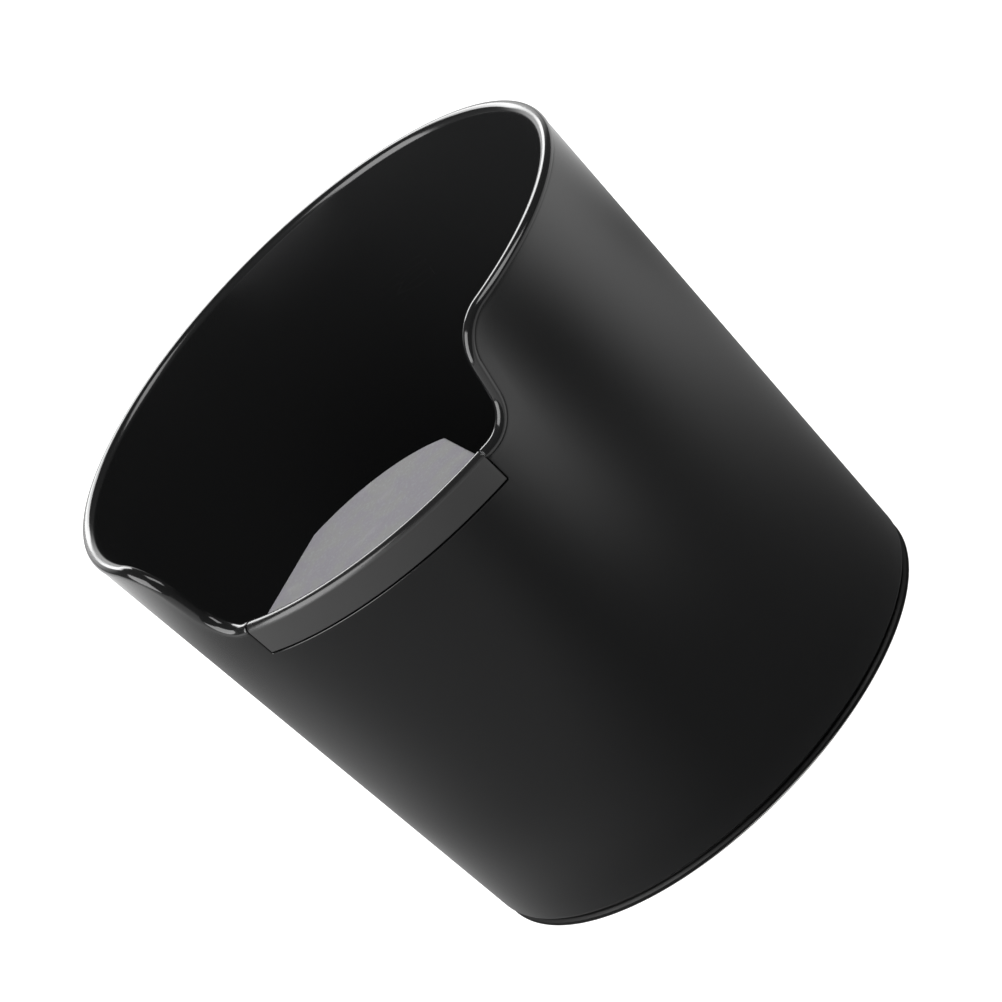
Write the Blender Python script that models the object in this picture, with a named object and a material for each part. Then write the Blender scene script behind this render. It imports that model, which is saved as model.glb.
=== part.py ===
"""Countertop espresso knock box.

A tapered plastic tub with a full-round rim. The rim drops into a wide notch at the
front (-Y), and a rubber knock pad sits astride the wall there: a skirt outside, a leg
inside, and a tongue that reaches over the tub. A rigid core stiffens the pad from
below, and a rubber ring under the tub keeps it from sliding.

Frame: metres, +Z up, origin at the centre of the underside, notch towards -Y.
Angles are measured about Z from the front (-Y), positive towards +X.
"""

import math

import bmesh
import bpy

# ---- driving dimensions (metres) ----
HEIGHT = 0.165
TOP_RADIUS = 0.0875          # outer wall cone, carried up to the rim's height
BASE_RADIUS = 0.0778         # the same cone at the table
WALL = 0.0040
RIM_BEAD = 0.0002            # how far the rim stands proud of the wall
GAP = 0.0003                 # clearance between separate pieces

# notch in the rim, on the wall unrolled at UNROLL_RADIUS
UNROLL_RADIUS = 0.0865
NOTCH_DROP = 0.0285
NOTCH_LOW_HALF = 0.0485      # half length of the notch's level bottom
NOTCH_TOP_HALF = 0.0745      # where the rim is level again
NOTCH_LOW_BEND = 0.0097
NOTCH_TOP_BEND = 0.0148
RIM_BAND = 0.006             # depth of the strip that is swept along the rim
LEVEL_WALL = 0.1080          # above this height the wall's columns lean to meet the rim

# floor and foot
SHELL_BOTTOM = 0.0027
KNUCKLE = 0.0015             # rounding at the wall's lower edge
FLOOR_UNDER = 0.0095
FLOOR = 0.0035
FLOOR_FILLET = 0.006
RIB_INNER = 0.0675
RIB_OUTER = 0.0697
CHANNEL_OUTER = 0.0739
CHANNEL_TOP = 0.0088
CENTRE_DISC = 0.030

# knock pad
PAD_HALF_ANGLE = math.radians(30.0)
SEAT_RADIUS = 0.0834         # outside of the thinned wall under the pad
SEAT_BOTTOM = 0.1253
SEAT_WALL_TOP = 0.1305
SKIRT_BOTTOM = SEAT_BOTTOM + GAP
LEG_BOTTOM = 0.1100
LEG_THICKNESS = 0.0018
LEG_SHOULDER = 0.0010        # how far the leg starts below the tongue's top
TONGUE_TOP = 0.1328
TONGUE_DEPTH = 0.0080        # rubber cap, top face to lower edge
TONGUE_SKIN = 0.0040
TONGUE_EDGE = 0.0026
TONGUE_CORNER_RADIUS = 0.0483
TONGUE_REAR_REACH = 0.0353   # closest the tongue's rear edge comes to the axis

# pad core
CORE_PLATE = 0.0034
CORE_LEG = 0.0025
CORE_LEG_LIFT = 0.0015       # the core's leg ends this far above the rubber leg
CORE_LEG_HALF_ANGLE = math.radians(25.0)
GUSSET_THICKNESS = 0.0025
GUSSET_TIP = 0.0020          # depth left at a web's thin end
GUSSET_ANGLES = [math.radians(-17.0), 0.0, math.radians(17.0)]

# base ring
RING_RADIUS = 0.0775
RING_INNER = 0.0640
RING_TOP = SHELL_BOTTOM - GAP
RING_EDGE_TOP = 0.0012       # top of the ring's upright edge
RING_LIP_TOP = 0.0019
RING_LIP_RADIUS = 0.0769
RING_LIP_INNER = 0.0762
RING_CHAMFER = 0.0003

# facets
COLUMN_STEP = math.radians(3.0)
EVEN_FROM = math.radians(54.0)   # the columns are evenly spaced beyond this angle
LEAN_FROM = 8                    # first column of a half that leans to follow the notch
LEAN_TO = math.radians(74.0)     # the columns are upright again beyond this angle
OVERLAP = 0.0010                 # how far solids reach into each other to be joined
CLEAR = 0.0050                   # how far a cutter reaches past what it cuts
FULL_TURN = 2.0 * math.pi


# ---- shapes that several pieces share ----

def outer_radius(z):
    return BASE_RADIUS + (TOP_RADIUS - BASE_RADIUS) * z / HEIGHT


def inner_radius(z):
    return outer_radius(z) - WALL


def polar(radius, angle, z):
    return (radius * math.sin(angle), -radius * math.cos(angle), z)


def spread(start, end, steps):
    return [start + (end - start) * i / steps for i in range(steps + 1)]


def rim_path():
    """Half of the rim line from the front to the back: (distance round, z, slope)."""
    low_z = HEIGHT - NOTCH_DROP
    low_centre = (NOTCH_LOW_HALF, low_z + NOTCH_LOW_BEND)
    top_centre = (NOTCH_TOP_HALF, HEIGHT - NOTCH_TOP_BEND)
    across = top_centre[0] - low_centre[0]
    rise = top_centre[1] - low_centre[1]
    bends = NOTCH_LOW_BEND + NOTCH_TOP_BEND
    steepest = math.atan2(rise, across) + math.asin(bends / math.hypot(across, rise))

    path = [(s, low_z, 0.0) for s in spread(0.0, NOTCH_LOW_HALF, 11)]
    for slope in spread(0.0, steepest, 6)[1:]:
        s = low_centre[0] + NOTCH_LOW_BEND * math.sin(slope)
        path.append((s, low_centre[1] - NOTCH_LOW_BEND * math.cos(slope), slope))
    for slope in spread(steepest, 0.0, 7):
        s = top_centre[0] - NOTCH_TOP_BEND * math.sin(slope)
        path.append((s, top_centre[1] + NOTCH_TOP_BEND * math.cos(slope), slope))
    angle = EVEN_FROM
    while angle < math.pi + 0.001:
        path.append((angle * UNROLL_RADIUS, HEIGHT, 0.0))
        angle += COLUMN_STEP
    return path


def full_rim_path():
    """The whole rim line, once round, with the columns' angles lower down the wall."""
    half = rim_path()
    lengths = [0.0]
    for before, after in zip(half, half[1:]):
        lengths.append(lengths[-1] + math.hypot(after[0] - before[0], after[1] - before[1]))
    start = LEAN_FROM
    end = next(i for i, p in enumerate(half) if p[0] > LEAN_TO * UNROLL_RADIUS)
    samples = []
    for i, (s, z, slope) in enumerate(half):
        low_s = s
        if start < i < end:
            part = (lengths[i] - lengths[start]) / (lengths[end] - lengths[start])
            low_s = half[start][0] + part * (half[end][0] - half[start][0])
        samples.append((s, z, slope, low_s / UNROLL_RADIUS))
    mirrored = [(-s, z, -slope, -low) for s, z, slope, low in samples[1:-1]]
    return mirrored[::-1] + samples


def below_rim(sample, depth):
    """The point that lies DEPTH into the wall from the rim line: (angle, z)."""
    s, z, slope, _ = sample
    return (s + depth * math.sin(slope)) / UNROLL_RADIUS, z - depth * math.cos(slope)


def plan_arc(front, middle, half_width, steps):
    """Points of the arc through (-half_width, front), (0, middle) and (half_width, front)."""
    rise = front - middle
    radius = (half_width ** 2 + rise ** 2) / (2.0 * rise)
    sweep = math.asin(half_width / radius)
    points = []
    for angle in spread(-sweep, sweep, steps):
        points.append((radius * math.sin(angle), middle + radius - radius * math.cos(angle)))
    return points


def tongue_outline(inset, front_radius):
    """Plan of the tongue as (x, y): radial sides, a bowed rear edge, a front on the wall's arc."""
    side_angle = PAD_HALF_ANGLE
    corner_depth = TONGUE_CORNER_RADIUS * math.cos(side_angle)
    # an inset moves each side in along its normal, and the rear edge towards the front
    side_shift = inset / math.cos(side_angle)
    rear_depth = corner_depth + inset
    half = rear_depth * math.tan(side_angle) - side_shift
    rear = plan_arc(rear_depth, TONGUE_REAR_REACH + inset, half, 10)
    outline = [(x, -depth) for x, depth in rear]
    front_half = side_angle - math.asin(inset / front_radius)
    for angle in spread(front_half, -front_half, 20):
        x, y, _ = polar(front_radius, angle, 0.0)
        outline.append((x, y))
    return outline


# ---- mesh helpers ----

def add_object(name, mesh_data, smooth_angle=30.0):
    bmesh.ops.recalc_face_normals(mesh_data, faces=mesh_data.faces)
    mesh = bpy.data.meshes.new(name)
    mesh_data.to_mesh(mesh)
    mesh_data.free()
    mesh.shade_smooth()
    mesh.set_sharp_from_angle(angle=math.radians(smooth_angle))
    obj = bpy.data.objects.new(name, mesh)
    bpy.context.scene.collection.objects.link(obj)
    return obj


def ring_grid(name, rings, close_ends):
    """A mesh from rings of equal length; close_ends caps the first and last, else they join."""
    bm = bmesh.new()
    rows = [[bm.verts.new(point) for point in ring] for ring in rings]
    count = len(rows[0])
    pairs = list(zip(rows, rows[1:]))
    if not close_ends:
        pairs.append((rows[-1], rows[0]))
    for low, high in pairs:
        for i in range(count):
            k = (i + 1) % count
            bm.faces.new((low[i], low[k], high[k], high[i]))
    if close_ends:
        bm.faces.new(rows[0])
        bm.faces.new(rows[-1])
    return add_object(name, bm)


def turned(name, profile, steps):
    """A closed ring with the (radius, z) section PROFILE."""
    angles = [FULL_TURN * i / steps for i in range(steps)]
    rings = [[polar(radius, angle, z) for radius, z in profile] for angle in angles]
    return ring_grid(name, rings, close_ends=False)


def sector(name, profile, half_angle, steps):
    """The (radius, z) section PROFILE carried from -half_angle to half_angle, with flat ends."""
    angles = spread(-half_angle, half_angle, steps)
    rings = [[polar(radius, angle, z) for radius, z in profile] for angle in angles]
    return ring_grid(name, rings, close_ends=True)


def slab(name, outline, low, high):
    rings = [[(x, y, z) for x, y in outline] for z in (low, high)]
    return ring_grid(name, rings, close_ends=True)


def combine(target, other, operation):
    """Apply a Boolean to TARGET and remove OTHER."""
    modifier = target.modifiers.new(operation.title(), "BOOLEAN")
    modifier.operation = operation
    modifier.solver = "EXACT"
    modifier.object = other
    bpy.context.view_layer.update()
    evaluated = target.evaluated_get(bpy.context.evaluated_depsgraph_get())
    result = bpy.data.meshes.new_from_object(evaluated)
    target.modifiers.clear()
    target.data = result
    bpy.data.objects.remove(other, do_unlink=True)


def plain_material(name, colour, roughness):
    material = bpy.data.materials.new(name)
    material.use_nodes = True
    shader = material.node_tree.nodes["Principled BSDF"]
    shader.inputs["Base Color"].default_value = (*colour, 1.0)
    shader.inputs["Roughness"].default_value = roughness
    shader.inputs["Metallic"].default_value = 0.0
    return material


def finish(obj, material):
    obj.data.materials.clear()
    obj.data.materials.append(material)


# ---- materials ----

def tub_plastic():
    return plain_material("tub_plastic", (0.020, 0.020, 0.021), 0.28)


def pad_rubber():
    return plain_material("pad_rubber", (0.050, 0.050, 0.053), 0.60)


def core_plastic():
    return plain_material("core_plastic", (0.030, 0.030, 0.032), 0.50)


def foot_rubber():
    return plain_material("foot_rubber", (0.018, 0.018, 0.019), 0.70)


# ---- pieces ----

def shell_column(sample):
    """One column of the tub's surface, from under the floor, over the rim, to the floor inside."""
    low_angle = sample[3]
    floor_top = FLOOR_UNDER + FLOOR
    knuckle_z = SHELL_BOTTOM + KNUCKLE
    knuckle_radius = outer_radius(knuckle_z)

    column = [
        polar(CENTRE_DISC, low_angle, FLOOR_UNDER),
        polar(RIB_INNER, low_angle, FLOOR_UNDER),
        polar(RIB_INNER, low_angle, SHELL_BOTTOM),
        polar(RIB_OUTER, low_angle, SHELL_BOTTOM),
        polar(RIB_OUTER, low_angle, CHANNEL_TOP),
        polar(CHANNEL_OUTER, low_angle, CHANNEL_TOP),
        polar(CHANNEL_OUTER, low_angle, SHELL_BOTTOM),
        polar(knuckle_radius - KNUCKLE, low_angle, SHELL_BOTTOM),
        polar(knuckle_radius - 0.3 * KNUCKLE, low_angle, SHELL_BOTTOM + 0.3 * KNUCKLE),
        polar(knuckle_radius, low_angle, knuckle_z),
        polar(outer_radius(LEVEL_WALL), low_angle, LEVEL_WALL),
    ]

    band_angle, band_z = below_rim(sample, RIM_BAND)
    halfway_angle = (band_angle + low_angle) / 2.0
    halfway_z = (band_z + LEVEL_WALL) / 2.0
    column.append(polar(outer_radius(halfway_z), halfway_angle, halfway_z))
    column.append(polar(outer_radius(band_z), band_angle, band_z))
    round_radius = (WALL + RIM_BEAD) / 2.0
    for turn in spread(0.0, math.pi, 6):
        angle, z = below_rim(sample, round_radius * (1.0 - math.sin(turn)))
        inward = round_radius * (1.0 - math.cos(turn)) - RIM_BEAD
        column.append(polar(outer_radius(z) - inward, angle, z))
    column.append(polar(inner_radius(halfway_z), halfway_angle, halfway_z))
    column.append(polar(inner_radius(LEVEL_WALL), low_angle, LEVEL_WALL))

    fillet_z = floor_top + FLOOR_FILLET
    for turn in spread(0.0, math.pi / 2.0, 3):
        z = fillet_z - FLOOR_FILLET * math.sin(turn)
        radius = inner_radius(fillet_z) - FLOOR_FILLET * (1.0 - math.cos(turn))
        column.append(polar(radius, low_angle, z))
    column.append(polar(CENTRE_DISC, low_angle, floor_top))
    return column


def pad_seat_cutter():
    """What the tub's wall loses under the pad: its outer face, and its top."""
    outside = TOP_RADIUS + CLEAR
    inside = inner_radius(SEAT_WALL_TOP) - CLEAR
    above = HEIGHT + CLEAR
    profile = [
        (SEAT_RADIUS, SEAT_BOTTOM),
        (outside, SEAT_BOTTOM),
        (outside, above),
        (inside, above),
        (inside, SEAT_WALL_TOP),
        (SEAT_RADIUS, SEAT_WALL_TOP),
    ]
    return sector("pad_seat_cutter", profile, PAD_HALF_ANGLE + GAP / SEAT_RADIUS, 22)


def tub_shell():
    columns = [shell_column(sample) for sample in full_rim_path()]
    rings = list(zip(*columns))
    shell = ring_grid("tub_shell", rings, close_ends=True)
    combine(shell, pad_seat_cutter(), "DIFFERENCE")
    finish(shell, tub_plastic())


def leg_face(z):
    """Outer face of the pad's inner leg, just clear of the tub's inner wall."""
    return inner_radius(z) - GAP


def saddle_profile():
    """Section of the part of the pad that sits astride the wall."""
    crest = HEIGHT - NOTCH_DROP
    lip_radius = WALL / 2.0
    lip_z = crest - lip_radius
    profile = [
        (SEAT_RADIUS + GAP, SKIRT_BOTTOM),
        (outer_radius(SKIRT_BOTTOM), SKIRT_BOTTOM),
    ]
    for turn in spread(0.0, math.pi, 6):
        radius = outer_radius(lip_z) - lip_radius * (1.0 - math.cos(turn))
        profile.append((radius, lip_z + lip_radius * math.sin(turn)))
    shoulder_z = TONGUE_TOP - LEG_SHOULDER
    tongue_under = TONGUE_TOP - TONGUE_DEPTH
    profile += [
        (outer_radius(lip_z) - WALL, shoulder_z),
        (leg_face(TONGUE_TOP) - LEG_THICKNESS, shoulder_z),
        (leg_face(tongue_under) - LEG_THICKNESS, tongue_under),
        (leg_face(LEG_BOTTOM) - LEG_THICKNESS, LEG_BOTTOM),
        (leg_face(LEG_BOTTOM), LEG_BOTTOM),
        (leg_face(SEAT_WALL_TOP + GAP), SEAT_WALL_TOP + GAP),
        (SEAT_RADIUS + GAP, SEAT_WALL_TOP + GAP),
    ]
    return profile


def knock_pad():
    """The rubber pad: saddle, tongue, and a pocket under the tongue for the core."""
    pad = sector("knock_pad", saddle_profile(), PAD_HALF_ANGLE, 20)
    tongue_under = TONGUE_TOP - TONGUE_DEPTH
    front = leg_face(TONGUE_TOP) - 0.5 * LEG_THICKNESS
    tongue = slab("tongue", tongue_outline(0.0, front), tongue_under, TONGUE_TOP)
    pocket_front = leg_face(tongue_under) - LEG_THICKNESS
    pocket_outline = tongue_outline(TONGUE_EDGE, pocket_front)
    pocket = slab("pocket", pocket_outline, tongue_under - CLEAR, TONGUE_TOP - TONGUE_SKIN)
    combine(tongue, pocket, "DIFFERENCE")
    combine(pad, tongue, "UNION")
    finish(pad, pad_rubber())


def gusset(angle, face, reach, low, high):
    """A triangular web in a radial plane, between the core's leg and its plate."""
    half = GUSSET_THICKNESS / 2.0
    side = (math.cos(angle), math.sin(angle))
    corners = [(face, low), (face, high), (reach, high), (reach, high - GUSSET_TIP)]
    rings = []
    for offset in (-half, half):
        ring = []
        for radius, z in corners:
            x, y, _ = polar(radius, angle, z)
            ring.append((x + offset * side[0], y + offset * side[1], z))
        rings.append(ring)
    return ring_grid("gusset", rings, close_ends=True)


def pad_core():
    """The rigid bracket in the pad: a plate under the tongue, a leg down the wall, three webs."""
    plate_top = TONGUE_TOP - TONGUE_SKIN - GAP
    plate_low = plate_top - CORE_PLATE
    tongue_under = TONGUE_TOP - TONGUE_DEPTH
    front = leg_face(tongue_under) - LEG_THICKNESS - GAP
    core = slab("pad_core", tongue_outline(TONGUE_EDGE + GAP, front), plate_low, plate_top)

    leg_low = LEG_BOTTOM + CORE_LEG_LIFT
    leg_top = plate_low + OVERLAP
    leg_front = leg_face(leg_low) - LEG_THICKNESS - GAP
    profile = [
        (leg_front - CORE_LEG, leg_low),
        (leg_front, leg_low),
        (front - GAP, leg_top),
        (front - GAP - CORE_LEG, leg_top),
    ]
    combine(core, sector("leg", profile, CORE_LEG_HALF_ANGLE, 16), "UNION")

    web_face = leg_front - 0.5 * CORE_LEG
    for angle in GUSSET_ANGLES:
        web = gusset(angle, web_face, TONGUE_CORNER_RADIUS, leg_low + OVERLAP, leg_top)
        combine(core, web, "UNION")
    finish(core, core_plastic())


def base_ring():
    """The foot: a flat ring whose tongue presses up into the channel under the tub."""
    tenon_inner = RIB_OUTER + GAP
    tenon_outer = CHANNEL_OUTER - GAP
    tenon_top = CHANNEL_TOP - GAP
    profile = [
        (RING_INNER, 0.0),
        (RING_RADIUS - RING_CHAMFER, 0.0),
        (RING_RADIUS, RING_CHAMFER),
        (RING_RADIUS, RING_EDGE_TOP),
        (RING_LIP_RADIUS, RING_LIP_TOP),
        (RING_LIP_INNER, RING_LIP_TOP),
        (RING_LIP_INNER - RING_CHAMFER, RING_TOP),
        (tenon_outer, RING_TOP),
        (tenon_outer, tenon_top),
        (tenon_inner, tenon_top),
        (tenon_inner, RING_TOP),
        (RING_INNER, RING_TOP),
    ]
    finish(turned("base_ring", profile, 120), foot_rubber())


def main():
    for obj in list(bpy.data.objects):
        bpy.data.objects.remove(obj, do_unlink=True)
    tub_shell()
    knock_pad()
    pad_core()
    base_ring()


main()
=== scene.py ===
"""Visual model of a countertop espresso knock box, laid out as a Blender add-on.

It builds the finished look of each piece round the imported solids: the black tub with its
notched rim, the rubber knock pad, the bracket inside the pad and the ribbed base ring.
Metres, +Z up, origin at the centre of the underside, notch and pad towards -Y.
Angles are measured about Z from the front (-Y), positive towards +X.
"""

import math

import bmesh
import bpy
from bpy.props import FloatProperty, FloatVectorProperty, IntProperty, PointerProperty
from mathutils import Matrix, Vector


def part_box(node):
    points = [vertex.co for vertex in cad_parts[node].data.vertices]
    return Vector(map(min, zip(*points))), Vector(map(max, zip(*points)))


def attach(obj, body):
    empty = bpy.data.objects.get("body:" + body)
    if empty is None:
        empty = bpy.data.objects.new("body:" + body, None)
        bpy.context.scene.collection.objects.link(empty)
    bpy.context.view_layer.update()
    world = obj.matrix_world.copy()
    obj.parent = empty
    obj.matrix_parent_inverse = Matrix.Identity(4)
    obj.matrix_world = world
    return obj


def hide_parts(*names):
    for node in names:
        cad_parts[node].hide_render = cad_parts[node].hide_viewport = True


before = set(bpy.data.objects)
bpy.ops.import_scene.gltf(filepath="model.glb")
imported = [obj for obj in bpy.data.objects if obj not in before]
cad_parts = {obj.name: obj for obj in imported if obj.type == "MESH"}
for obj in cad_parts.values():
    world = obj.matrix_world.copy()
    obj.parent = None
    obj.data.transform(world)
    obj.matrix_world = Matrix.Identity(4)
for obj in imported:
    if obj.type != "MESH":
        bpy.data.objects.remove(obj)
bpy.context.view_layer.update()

bl_info = {
    "name": "Espresso Knock Box",
    "version": (1, 0, 0),
    "blender": (4, 5, 0),
    "location": "View3D > Sidebar > Knock Box",
    "description": "Builds a countertop knock box with its pad, base ring and studio",
    "category": "Add Mesh",
}

# ---- places taken from the solids ----
TUB_LOW, TUB_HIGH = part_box("tub_shell")
PAD_LOW, PAD_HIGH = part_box("knock_pad")
HEIGHT = TUB_HIGH.z
CREST = PAD_HIGH.z                  # top of the pad's lip, level with the notch's bottom
LEG_BOTTOM = PAD_LOW.z
SHELL_BOTTOM = TUB_LOW.z
RING_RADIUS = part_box("base_ring")[1].x

# ---- the tub's wall ----
TOP_RADIUS = 0.0875
BASE_RADIUS = 0.0778
WALL = 0.0040
RIM_BEAD = 0.0002
BEAD_STEP = (                       # mm below the rim, and mm proud of the wall
    (3.4, 0.0), (2.78, 0.0), (2.68, 0.02), (2.60, 0.08), (2.53, 0.16), (2.44, 0.20),
)
LEVEL_WALL = 0.1080                 # columns lean to meet the rim above this height
RIM_BAND = 0.0060

# ---- the notch, on the wall unrolled at this radius ----
UNROLL_RADIUS = 0.0865
LOW_HALF = 0.0485
TOP_HALF = 0.0745
LOW_BEND = 0.0097
TOP_BEND = 0.0148
LEAN_START = 0.0400                 # distances round between which the columns lean
LEAN_END = 0.1120

# ---- underside and floor ----
KNUCKLE = 0.0015
FLOOR_UNDER = 0.0095
FLOOR_TOP = 0.0130
FLOOR_FILLET = 0.0060
RIB_INNER = 0.0675
RIB_OUTER = 0.0697
CHANNEL_OUTER = 0.0739
CHANNEL_TOP = 0.0088
CENTRE_DISC = 0.0300

# ---- the pad and its seat ----
PAD_HALF_ANGLE = math.radians(30.0)
SEAT_RADIUS = 0.0834
SEAT_BOTTOM = 0.1253
SEAT_WALL_TOP = 0.1305
SKIRT_BOTTOM = SEAT_BOTTOM + 0.00045
LEG_THICKNESS = 0.0018
TONGUE_TOP = 0.1328
LIP_BOTTOM = CREST - WALL / 2.0
TONGUE_UNDER = 0.1248
TONGUE_SKIN = 0.0040
TONGUE_EDGE = 0.0026
TONGUE_CORNER = 0.0483
TONGUE_REAR = 0.0353
POCKET_REACH = 0.0008               # how far the pocket's cutter starts below the tongue
SEAT_EDGE = 0.00027
PAD_EDGE = 0.00035

# ---- the base ring and the ribs on its edge ----
RING_INNER = 0.0640
RING_SHOULDER = 0.0760
RING_RIM_TOP = 0.0019
RING_TOP = 0.0024
EDGE_RIB_DEPTH = 0.0007
EDGE_RIB_FOOT = 0.00006
EDGE_RIB_PROUD = 0.00005

# ---- shared by several pieces ----
MM = 0.001
GAP = 0.0003
CLEAR = 0.005                       # how far a cutter reaches past what it cuts
ON_PLANE = 0.00002
SHARP = math.radians(35.0)          # corners steeper than this stay crisp
EDGE_TO_ROUND = math.radians(50.0)
PLASTIC_IOR = 1.5
FOOT_IOR = 1.35

# ---- the studio ----
SHEEN_POOLS = (                     # metres to the right, toward the camera, reach; strength
    (-0.21, -0.05, 0.10, 0.12),
    (0.13, 0.265, 0.075, 0.25),
    (0.19, 0.38, 0.115, 1.75),
    (0.38, 0.0, 0.165, 0.88),
)
SHEEN_SHADE = (0.31, 0.235, 0.11)
PANELS = (                          # angle from the camera, height angle, distance, size, share
    ("left_panel", -74.0, 30.0, 1.3, (1.2, 1.2), 2.2),
    ("back_panel", 180.0, 33.0, 1.4, (1.0, 0.55), 0.85),
    ("right_panel", 75.0, 45.0, 1.4, (0.6, 0.9), 0.7),
)
FILL_ANGLE = 1.35                   # above the floor, on the camera's side
FILL_DISTANCE = 1.5
FILL_SIZE = (1.4, 1.4)
STAGE_RADIUS = 4.0
FLOOR_LEVEL = -0.00005
SHEEN_LEVEL = -0.0005


# ---- small sums that several pieces share ----

def outer_radius(z):
    return BASE_RADIUS + (TOP_RADIUS - BASE_RADIUS) * z / HEIGHT


def inner_radius(z):
    return outer_radius(z) - WALL


def polar(radius, angle, z):
    return (radius * math.sin(angle), -radius * math.cos(angle), z)


def spread(start, end, steps):
    return [start + (end - start) * i / steps for i in range(steps + 1)]


def arc(centre, radius, start, end, steps):
    """Points of a rounding in a section, as (r, z); angles in degrees from +r towards +z."""
    points = []
    for degrees in spread(start, end, steps):
        turn = math.radians(degrees)
        points.append((centre[0] + radius * math.cos(turn), centre[1] + radius * math.sin(turn)))
    return points


def facing(azimuth, elevation):
    """Unit direction for an angle about Z from the front and an angle above the floor."""
    return (
        math.sin(azimuth) * math.cos(elevation),
        -math.cos(azimuth) * math.cos(elevation),
        math.sin(elevation),
    )


# ---- mesh helpers ----

def new_piece(name, bm):
    """A piece from a finished bmesh, with smooth faces and sharp corners."""
    bmesh.ops.recalc_face_normals(bm, faces=bm.faces)
    mesh = bpy.data.meshes.new(name)
    bm.to_mesh(mesh)
    bm.free()
    mesh.shade_smooth()
    mesh.set_sharp_from_angle(angle=SHARP)
    piece = bpy.data.objects.new(name, mesh)
    bpy.context.scene.collection.objects.link(piece)
    return piece


def woven(rings, capped):
    """A bmesh from rings of equal length; capped closes both ends, else they join up."""
    bm = bmesh.new()
    rows = [[bm.verts.new(point) for point in ring] for ring in rings]
    count = len(rows[0])
    pairs = list(zip(rows, rows[1:]))
    if not capped:
        pairs.append((rows[-1], rows[0]))
    for low, high in pairs:
        for i in range(count):
            k = (i + 1) % count
            bm.faces.new((low[i], low[k], high[k], high[i]))
    if capped:
        bm.faces.new(rows[0])
        bm.faces.new(rows[-1])
    return bm


def settle(piece):
    """Make what PIECE's modifiers show its own mesh."""
    bpy.context.view_layer.update()
    evaluated = piece.evaluated_get(bpy.context.evaluated_depsgraph_get())
    mesh = bpy.data.meshes.new_from_object(evaluated)
    piece.modifiers.clear()
    old = piece.data
    piece.data = mesh
    bpy.data.meshes.remove(old)


def cut_away(piece, cutter):
    """Take CUTTER out of PIECE for good."""
    modifier = piece.modifiers.new("Cut", "BOOLEAN")
    modifier.operation = "DIFFERENCE"
    modifier.solver = "EXACT"
    modifier.object = cutter
    settle(piece)
    bpy.data.objects.remove(cutter, do_unlink=True)


def flatten_shading(piece):
    """Let the large faces lead the shading, so narrow roundings leave no halo round them."""
    piece.data.shade_smooth()
    piece.data.set_sharp_from_angle(angle=EDGE_TO_ROUND)
    modifier = piece.modifiers.new("Shading", "WEIGHTED_NORMAL")
    modifier.keep_sharp = True
    settle(piece)


def soften(piece, chosen, width, segments):
    """Round the sharp edges of PIECE that CHOSEN(middle point) picks."""
    bm = bmesh.new()
    bm.from_mesh(piece.data)
    edges = []
    for edge in bm.edges:
        if len(edge.link_faces) != 2 or edge.calc_face_angle() < EDGE_TO_ROUND:
            continue
        middle = (edge.verts[0].co + edge.verts[1].co) / 2.0
        if chosen(middle):
            edges.append(edge)
    bmesh.ops.bevel(
        bm, geom=edges, offset=width, offset_type="OFFSET", segments=segments,
        profile=0.5, affect="EDGES", clamp_overlap=False, loop_slide=True,
    )
    bm.to_mesh(piece.data)
    bm.free()


# ---- shader and geometry graphs ----

class Signal:
    """An output socket that takes part in sums; each operation adds a Math node."""

    def __init__(self, graph, socket):
        self.graph = graph
        self.socket = socket

    def maths(self, operation, *values):
        return self.graph.node("ShaderNodeMath", {"operation": operation}, dict(enumerate(values)))

    def __add__(self, other):
        return self.maths("ADD", self, other)

    def __radd__(self, other):
        return self.maths("ADD", other, self)

    def __sub__(self, other):
        return self.maths("SUBTRACT", self, other)

    def __rsub__(self, other):
        return self.maths("SUBTRACT", other, self)

    def __mul__(self, other):
        return self.maths("MULTIPLY", self, other)

    def __rmul__(self, other):
        return self.maths("MULTIPLY", other, self)

    def __truediv__(self, other):
        return self.maths("DIVIDE", self, other)

    def __pow__(self, other):
        return self.maths("POWER", self, other)

    def __rpow__(self, other):
        return self.maths("POWER", other, self)

    def most(self, other):
        return self.maths("MAXIMUM", self, other)

    def ease(self, start, end):
        """0 before start and 1 after end, with a soft passage between them."""
        settings = {"interpolation_type": "SMOOTHSTEP"}
        sockets = {"Value": self, "From Min": start, "From Max": end}
        return self.graph.node("ShaderNodeMapRange", settings, sockets)

    def part(self, name):
        """X, Y or Z of a vector."""
        return self.graph.node("ShaderNodeSeparateXYZ", {}, {0: self}, name)


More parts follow.
